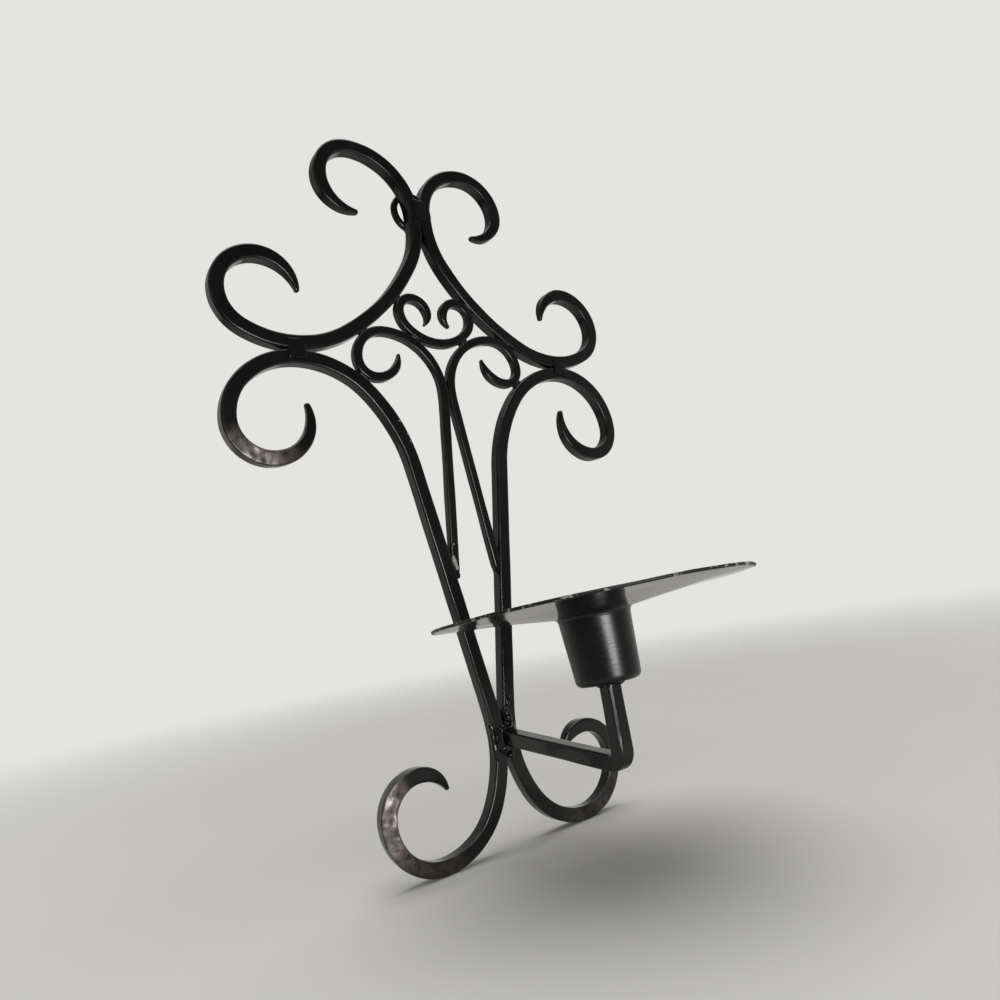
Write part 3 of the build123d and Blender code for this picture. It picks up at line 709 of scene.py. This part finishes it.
# Black enamel over flat sheet: the smoothest of the paint, so that the underside mirrors what stands near
# it, with a dull cut edge and pale chips along it where the steel shows.
pan_enamel = bare_material("black_enamel_on_flat_sheet")
pan_place = add_node(pan_enamel, "TexCoord").outputs["Object"]
pan_cloud = add_node(pan_enamel, "TexNoise", {
    "Vector": pan_place, "Scale": 1 / (14 * MM), "Detail": 3}).outputs[0]
pan_chip = add_node(pan_enamel, "TexNoise", {
    "Vector": pan_place, "Scale": 1 / (3.5 * MM), "Detail": 3}).outputs[0]
pan_rim = add_node(pan_enamel, "Attribute", attribute_name="rim").outputs["Fac"]
pan_black = add_node(pan_enamel, "Mix", {
    0: pan_cloud, 6: linear("#070707"), 7: linear("#0e0e0e")}, data_type="RGBA").outputs[2]
pan_chip_edge = add_node(pan_enamel, "MapRange", {
    "Value": pan_chip, "From Min": 0.56, "From Max": 0.6, "To Min": 0, "To Max": 1}).outputs[0]
pan_chips = add_node(pan_enamel, "Math", {
    0: pan_chip_edge, 1: pan_rim}, operation="MULTIPLY").outputs[0]
pan_colour = add_node(pan_enamel, "Mix", {
    0: pan_chips, 6: pan_black, 7: linear("#8f8882")}, data_type="RGBA").outputs[2]
pan_rough = add_node(pan_enamel, "MapRange", {
    "Value": pan_cloud, "From Min": 0.3, "From Max": 0.7, "To Min": 0.09, "To Max": 0.16}).outputs[0]
pan_rough_rim = add_node(pan_enamel, "Math", {
    0: pan_rim, 1: 0.4, 2: pan_rough}, operation="MULTIPLY_ADD").outputs[0]
pan_bump = add_node(pan_enamel, "Bump", {
    "Height": pan_chip, "Strength": 0.08, "Distance": 0.05 * MM}).outputs[0]
pan_shader = add_node(pan_enamel, "BsdfPrincipled", {
    "Base Color": pan_colour, "Roughness": pan_rough_rim, "IOR": ENAMEL_IOR, "Normal": pan_bump}).outputs[0]
add_node(pan_enamel, "OutputMaterial", {"Surface": pan_shader})

pan_hole = cup_radius(CUP_MOUTH) + WELD_GAP


def pan_share(radius):
    """Give how far out a radius of the pan is, from 0 at the hole to 1 at the rim."""
    return (radius - pan_hole) / (PAN_R - pan_hole)


def pan_height(radius):
    """Give the height of the pan's underside over the underside of the cup."""
    share = pan_share(radius)
    return CUP_TAPER_HEIGHT + PAN_RISE * share + 4 * PAN_CROWN * share * (1 - share)


pan_rings = [pan_hole + (PAN_R - pan_hole) * index / PAN_RINGS for index in range(PAN_RINGS)]
rim_low = pan_height(PAN_R)
rim_high = rim_low + PAN_SHEET
pan_outline = [(radius, pan_height(radius)) for radius in pan_rings]
pan_outline += [(PAN_R - PAN_EDGE, rim_low), (PAN_R, rim_low + PAN_EDGE)]
pan_outline += [(PAN_R, rim_high - PAN_EDGE), (PAN_R - PAN_EDGE, rim_high)]
pan_outline += [(radius, pan_height(radius) + PAN_SHEET) for radius in reversed(pan_rings)]


def pan_wobble(radius, height, angle):
    """Bend the rim up and down a little, and dent the sheet."""
    wave = noise.noise(Vector((PAN_WAVES * math.cos(angle), PAN_WAVES * math.sin(angle), PAN_WAVE_PICK)))
    dent = noise.noise(Vector((radius * math.cos(angle), radius * math.sin(angle), 0)) / PAN_DENT_LENGTH)
    return 0, PAN_WAVE * wave * pan_share(radius) + PAN_DENT * dent


def pan_rim_mark(radius, height):
    """Mark the cut edge of the sheet."""
    return 1.0 if radius > PAN_R - RIM_CHIP else 0.0


pan = turn_piece(
    "drip_pan_dish", pan_outline, cup_base, cup_axis, PAN_SEGMENTS, pan_enamel, pan_wobble, pan_rim_mark)
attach(pan, "root")
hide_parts("drip_pan")

# Weld beads
# Run metal at every joint, painted over with the rest: a lumpy collar round the root of the arm with
# drops of spatter beside it, a bead under the cup, a ring under the pan, and tacks between the scrolls.
DROP_SPACING = 0.5                  # drops of a run lie this share of their radius apart
SCARF_DRAWN = 1.3                   # the drop at each scarf is drawn out this much along the stem
SCARF_SLANT = 0.13                  # and leans in with the stem by this much for its height
PAN_BEAD = 1.4 * MM
PAN_BEAD_REACH = 0.6                # the ring under the pan reaches out less than it reaches down
PAN_BEAD_STEPS = 9
PAN_BEAD_LUMP = 0.06 * MM
PAN_BEAD_LUMP_LENGTH = 5 * MM
# Runs of weld and spatter beside the root of the arm, in mm: x and z of each end, radius of the drops
RUNS = [
    (-6.7, -238.8, -6.4, -252, 1.25), (2.2, -237.7, 1.6, -233, 1.2), (2.4, -238, 2.2, -237, 1.7),
    (4.6, -228.6, 4.8, -229.2, 0.8), (3, -230.5, 3.4, -231.6, 0.8), (-2.2, -248.8, -2, -249, 2.3),
    (0.4, -252.2, 0.6, -252.6, 1.4)]
# Each weld: its node, grain of the skin in mm, smoothing passes, swell, lumps and their length in mm
WELDS = [
    ("arm_root_weld", 0.25, 5, 0.25, 0.4, 3), ("cup_weld", 0.25, 3, -0.75, 0.5, 1.6),
    ("hanger_welds", 0.3, 5, 0.3, 0.35, 2), ("waist_weld", 0.3, 4, 0.4, 0.4, 2),
    ("scarf_welds", 0.25, 20, -0.55, 0.1, 1.6), ("heart_welds", 0.25, 4, 0.2, 0.2, 1.6),
    ("curl_welds", 0.25, 4, 0.2, 0.2, 1.6), ("neck_weld", 0.25, 3, 0.3, 0.3, 1.6)]

# Black enamel over weld bead: the paint pools in the hollows and shines on the lumps, so that a bead
# glints where the bar beside it is dark.
weld_enamel = bare_material("black_enamel_on_weld_bead")
weld_place = add_node(weld_enamel, "TexCoord").outputs["Object"]
weld_cloud = add_node(weld_enamel, "TexNoise", {
    "Vector": weld_place, "Scale": 1 / (2.5 * MM), "Detail": 3}).outputs[0]
weld_grit = add_node(weld_enamel, "TexNoise", {
    "Vector": weld_place, "Scale": 1 / (0.7 * MM), "Detail": 3}).outputs[0]
weld_colour = add_node(weld_enamel, "Mix", {
    0: weld_cloud, 6: linear("#070707"), 7: linear("#121111")}, data_type="RGBA").outputs[2]
weld_rough = add_node(weld_enamel, "MapRange", {
    "Value": weld_cloud, "From Min": 0.3, "From Max": 0.7, "To Min": 0.16, "To Max": 0.3}).outputs[0]
weld_bump = add_node(weld_enamel, "Bump", {
    "Height": weld_grit, "Strength": 0.2, "Distance": 0.05 * MM}).outputs[0]
weld_shader = add_node(weld_enamel, "BsdfPrincipled", {
    "Base Color": weld_colour, "Roughness": weld_rough, "IOR": ENAMEL_IOR, "Normal": weld_bump}).outputs[0]
add_node(weld_enamel, "OutputMaterial", {"Surface": weld_shader})

spatter = []
for x, z, end_x, end_z, radius in RUNS:
    count = math.ceil(math.hypot(end_x - x, end_z - z) / (DROP_SPACING * radius))
    for part in range(count + 1):
        spatter.append((x + (end_x - x) * part / count, z + (end_z - z) * part / count, radius))
scarf_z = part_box("scarf_welds")[1].z
for seed, (weld_node, skin, flow, swell, lump, lump_length) in enumerate(WELDS):
    drops = spatter if weld_node == "arm_root_weld" else ()
    bead = run_metal(
        weld_node + "_bead", weld_node, skin * MM, flow, swell * MM, lump * MM, lump_length * MM, weld_enamel,
        seed, drops)
    if weld_node == "scarf_welds":
        for point in bead.data.vertices:
            drop = point.co.z - scarf_z
            point.co.z = scarf_z + drop * SCARF_DRAWN
            point.co.x += drop * math.copysign(SCARF_SLANT, point.co.x)
    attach(bead, "root")
    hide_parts(weld_node)

cove_top = pan_hole + PAN_BEAD / 2
cove_foot = CUP_TAPER_HEIGHT - 2 * PAN_BEAD
cove = [
    (cove_top, pan_height(cove_top) + PAN_SHEET / 4), (pan_hole, CUP_TAPER_HEIGHT + PAN_SHEET / 4),
    (cup_radius(CUP_TAPER_HEIGHT) - CUP_WALL / 2, CUP_TAPER_HEIGHT),
    (cup_radius(cove_foot) - CUP_WALL / 4, cove_foot)]
for index in range(PAN_BEAD_STEPS):
    angle = index / PAN_BEAD_STEPS * math.pi / 2
    height = CUP_TAPER_HEIGHT - PAN_BEAD * (1 - math.sin(angle))
    cove.append((cup_radius(height) + PAN_BEAD_REACH * PAN_BEAD * (1 - math.cos(angle)), height))


def cove_wobble(radius, height, angle):
    """Leave the ring of weld a little lumpy."""
    place = Vector((radius * math.cos(angle), radius * math.sin(angle), height))
    return PAN_BEAD_LUMP * noise.noise(place / PAN_BEAD_LUMP_LENGTH), 0


pan_fillet = turn_piece("pan_weld_bead", cove, cup_base, cup_axis, CUP_SEGMENTS, sheet_enamel, cove_wobble)
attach(pan_fillet, "root")
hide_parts("pan_weld")

# Floor
# A plain studio floor under the feet, painted pale, which takes the soft shadow. It thins out all round
# into the background, so that no edge of it shows.
FLOOR_SIZE = 12.0
FADE_MIDDLE = (0.2, 0.15, 0)        # the floor is whole round here, behind the sconce and to the right
FADE_START = 0.1                    # metres from there at which it begins to thin out
FADE_END = 1.1                      # and at which it is gone
BACKGROUND = "#e4e4e1"

# Matt floor paint: an even pale grey with a faint cloud in it and no shine.
floor_paint = bare_material("matt_pale_floor_paint")
floor_place = add_node(floor_paint, "TexCoord").outputs["Object"]
floor_cloud = add_node(floor_paint, "TexNoise", {
    "Vector": floor_place, "Scale": 1 / (300 * MM), "Detail": 2}).outputs[0]
floor_colour = add_node(floor_paint, "Mix", {
    0: floor_cloud, 6: linear("#e4e2de"), 7: linear("#eae8e4")}, data_type="RGBA").outputs[2]
floor_matt = add_node(floor_paint, "BsdfPrincipled", {
    "Base Color": floor_colour, "Roughness": 0.9}).outputs[0]
floor_far = add_node(floor_paint, "VectorMath", {
    0: floor_place, 1: FADE_MIDDLE}, operation="DISTANCE").outputs["Value"]
floor_fade = add_node(floor_paint, "MapRange", {
    "Value": floor_far, "From Min": FADE_START, "From Max": FADE_END, "To Min": 0, "To Max": 1},
    interpolation_type="SMOOTHSTEP").outputs[0]
floor_gone = add_node(floor_paint, "BsdfTransparent").outputs[0]
floor_shader = add_node(floor_paint, "MixShader", {0: floor_fade, 1: floor_matt, 2: floor_gone}).outputs[0]
add_node(floor_paint, "OutputMaterial", {"Surface": floor_shader})

bpy.ops.mesh.primitive_plane_add(size=FLOOR_SIZE, location=(0, 0, cad_box[0][2]))
floor = bpy.context.object
floor.name = "studio_floor"
floor.data.materials.append(floor_paint)

# Light
# A small soft window light, low in front and a little to the left, kept off the floor, and a wide soft lamp
# overhead. The room is pale at the back on the right, and dimmer in front, above and below.
PALE_WAY = (0.64, 0.77, 0)
FRONT_SHARE = 0.14                  # light of the room in front, above and below, as a share of the pale end
CEILING_SHARE = 0.4
GROUND_SHARE = 0.25
middle = (Vector(cad_box[0]) + Vector(cad_box[1])) / 2


def soft_light(name, azimuth, rise, distance, width, height, spread, power):
    """Stand a rectangular lamp at an angle to the right of the front and above the middle, facing it."""
    lamp = bpy.data.lights.new(name, "AREA")
    lamp.shape = "RECTANGLE"
    lamp.size = width
    lamp.size_y = height
    lamp.spread = math.radians(spread)
    lamp.energy = power
    stand = bpy.data.objects.new(name, lamp)
    stand.visible_camera = False
    turn = math.radians(azimuth)
    up = math.radians(rise)
    away = Vector((math.sin(turn) * math.cos(up), -math.cos(turn) * math.cos(up), math.sin(up)))
    stand.location = middle + away * distance
    stand.rotation_euler = away.to_track_quat("Z", "Y").to_euler()
    bpy.context.scene.collection.objects.link(stand)
    return stand


window = soft_light(
    "window_light", azimuth=-8.6, rise=-6.7, distance=0.52, width=0.2, height=0.17, spread=100, power=0.55)
soft_light("overhead_light", azimuth=0, rise=86, distance=2.2, width=2.2, height=2.2, spread=180, power=36)
window_shade = bpy.data.collections.new("shaded_from_window")
window_shade.objects.link(floor)
window_shade.collection_objects[0].light_linking.link_state = "EXCLUDE"
window.light_linking.receiver_collection = window_shade

world = bpy.data.worlds.new("pale_studio")
bpy.context.scene.world = world
world.use_nodes = True
world.node_tree.nodes.clear()
world_way = add_node(world, "TexCoord").outputs["Generated"]
world_back = add_node(world, "VectorMath", {
    0: world_way, 1: PALE_WAY}, operation="DOT_PRODUCT").outputs["Value"]
world_side = add_node(world, "MapRange", {
    "Value": world_back, "From Min": -0.3, "From Max": 0.9, "To Min": FRONT_SHARE, "To Max": 1}).outputs[0]
world_up = add_node(world, "SeparateXYZ", {0: world_way}).outputs["Z"]
world_ceiling = add_node(world, "MapRange", {
    "Value": world_up, "From Min": 0.2, "From Max": 0.6, "To Min": 1, "To Max": CEILING_SHARE}).outputs[0]
world_ground = add_node(world, "MapRange", {
    "Value": world_up, "From Min": -0.16, "From Max": -0.08, "To Min": GROUND_SHARE, "To Max": 1}).outputs[0]
world_room = add_node(world, "Math", {
    0: world_side, 1: world_ceiling}, operation="MULTIPLY").outputs[0]
world_graded = add_node(world, "Math", {
    0: world_room, 1: world_ground}, operation="MULTIPLY").outputs[0]
# Seen directly or through something clear, the background is even
world_path = add_node(world, "LightPath").outputs
world_seen = add_node(world, "Math", {
    0: world_path["Is Camera Ray"], 1: world_path["Is Transmission Ray"]}, operation="MAXIMUM").outputs[0]
world_strength = add_node(world, "Math", {
    0: world_seen, 1: world_graded}, operation="MAXIMUM").outputs[0]
world_shader = add_node(world, "Background", {
    "Color": linear(BACKGROUND), "Strength": world_strength}).outputs[0]
add_node(world, "OutputWorld", {"Surface": world_shader})

# Camera
# Low and to the left, looking a little up and rolled, as the photograph was taken. Its place, angles and
# lens are those at which the bars, the cup and the pan fall on their outlines there.
CAMERA_PLACE = (-178.686 * MM, -277.093 * MM, -192.918 * MM)
CAMERA_YAW = 36.163                 # to the right of straight back
CAMERA_RISE = 8.200
CAMERA_ROLL = -9.784
FOCAL_PIXELS = 736.162
IMAGE_PIXELS = 1000
CENTRE_ROW = 504.4565
SENSOR = 36
lens = bpy.data.cameras.new("photo_camera")
lens.sensor_fit = "HORIZONTAL"
lens.sensor_width = SENSOR
lens.lens = FOCAL_PIXELS / IMAGE_PIXELS * SENSOR
lens.shift_y = (CENTRE_ROW - IMAGE_PIXELS / 2) / IMAGE_PIXELS
lens.clip_start = 0.01
camera = bpy.data.objects.new("photo_camera", lens)
camera_yaw = Matrix.Rotation(math.radians(-CAMERA_YAW), 4, "Z")
camera_rise = Matrix.Rotation(math.radians(90 + CAMERA_RISE), 4, "X")
camera_roll = Matrix.Rotation(math.radians(CAMERA_ROLL), 4, "Z")
camera.matrix_world = Matrix.Translation(CAMERA_PLACE) @ camera_yaw @ camera_rise @ camera_roll
bpy.context.scene.collection.objects.link(camera)
bpy.context.scene.camera = camera
bpy.context.scene.view_settings.view_transform = "Standard"
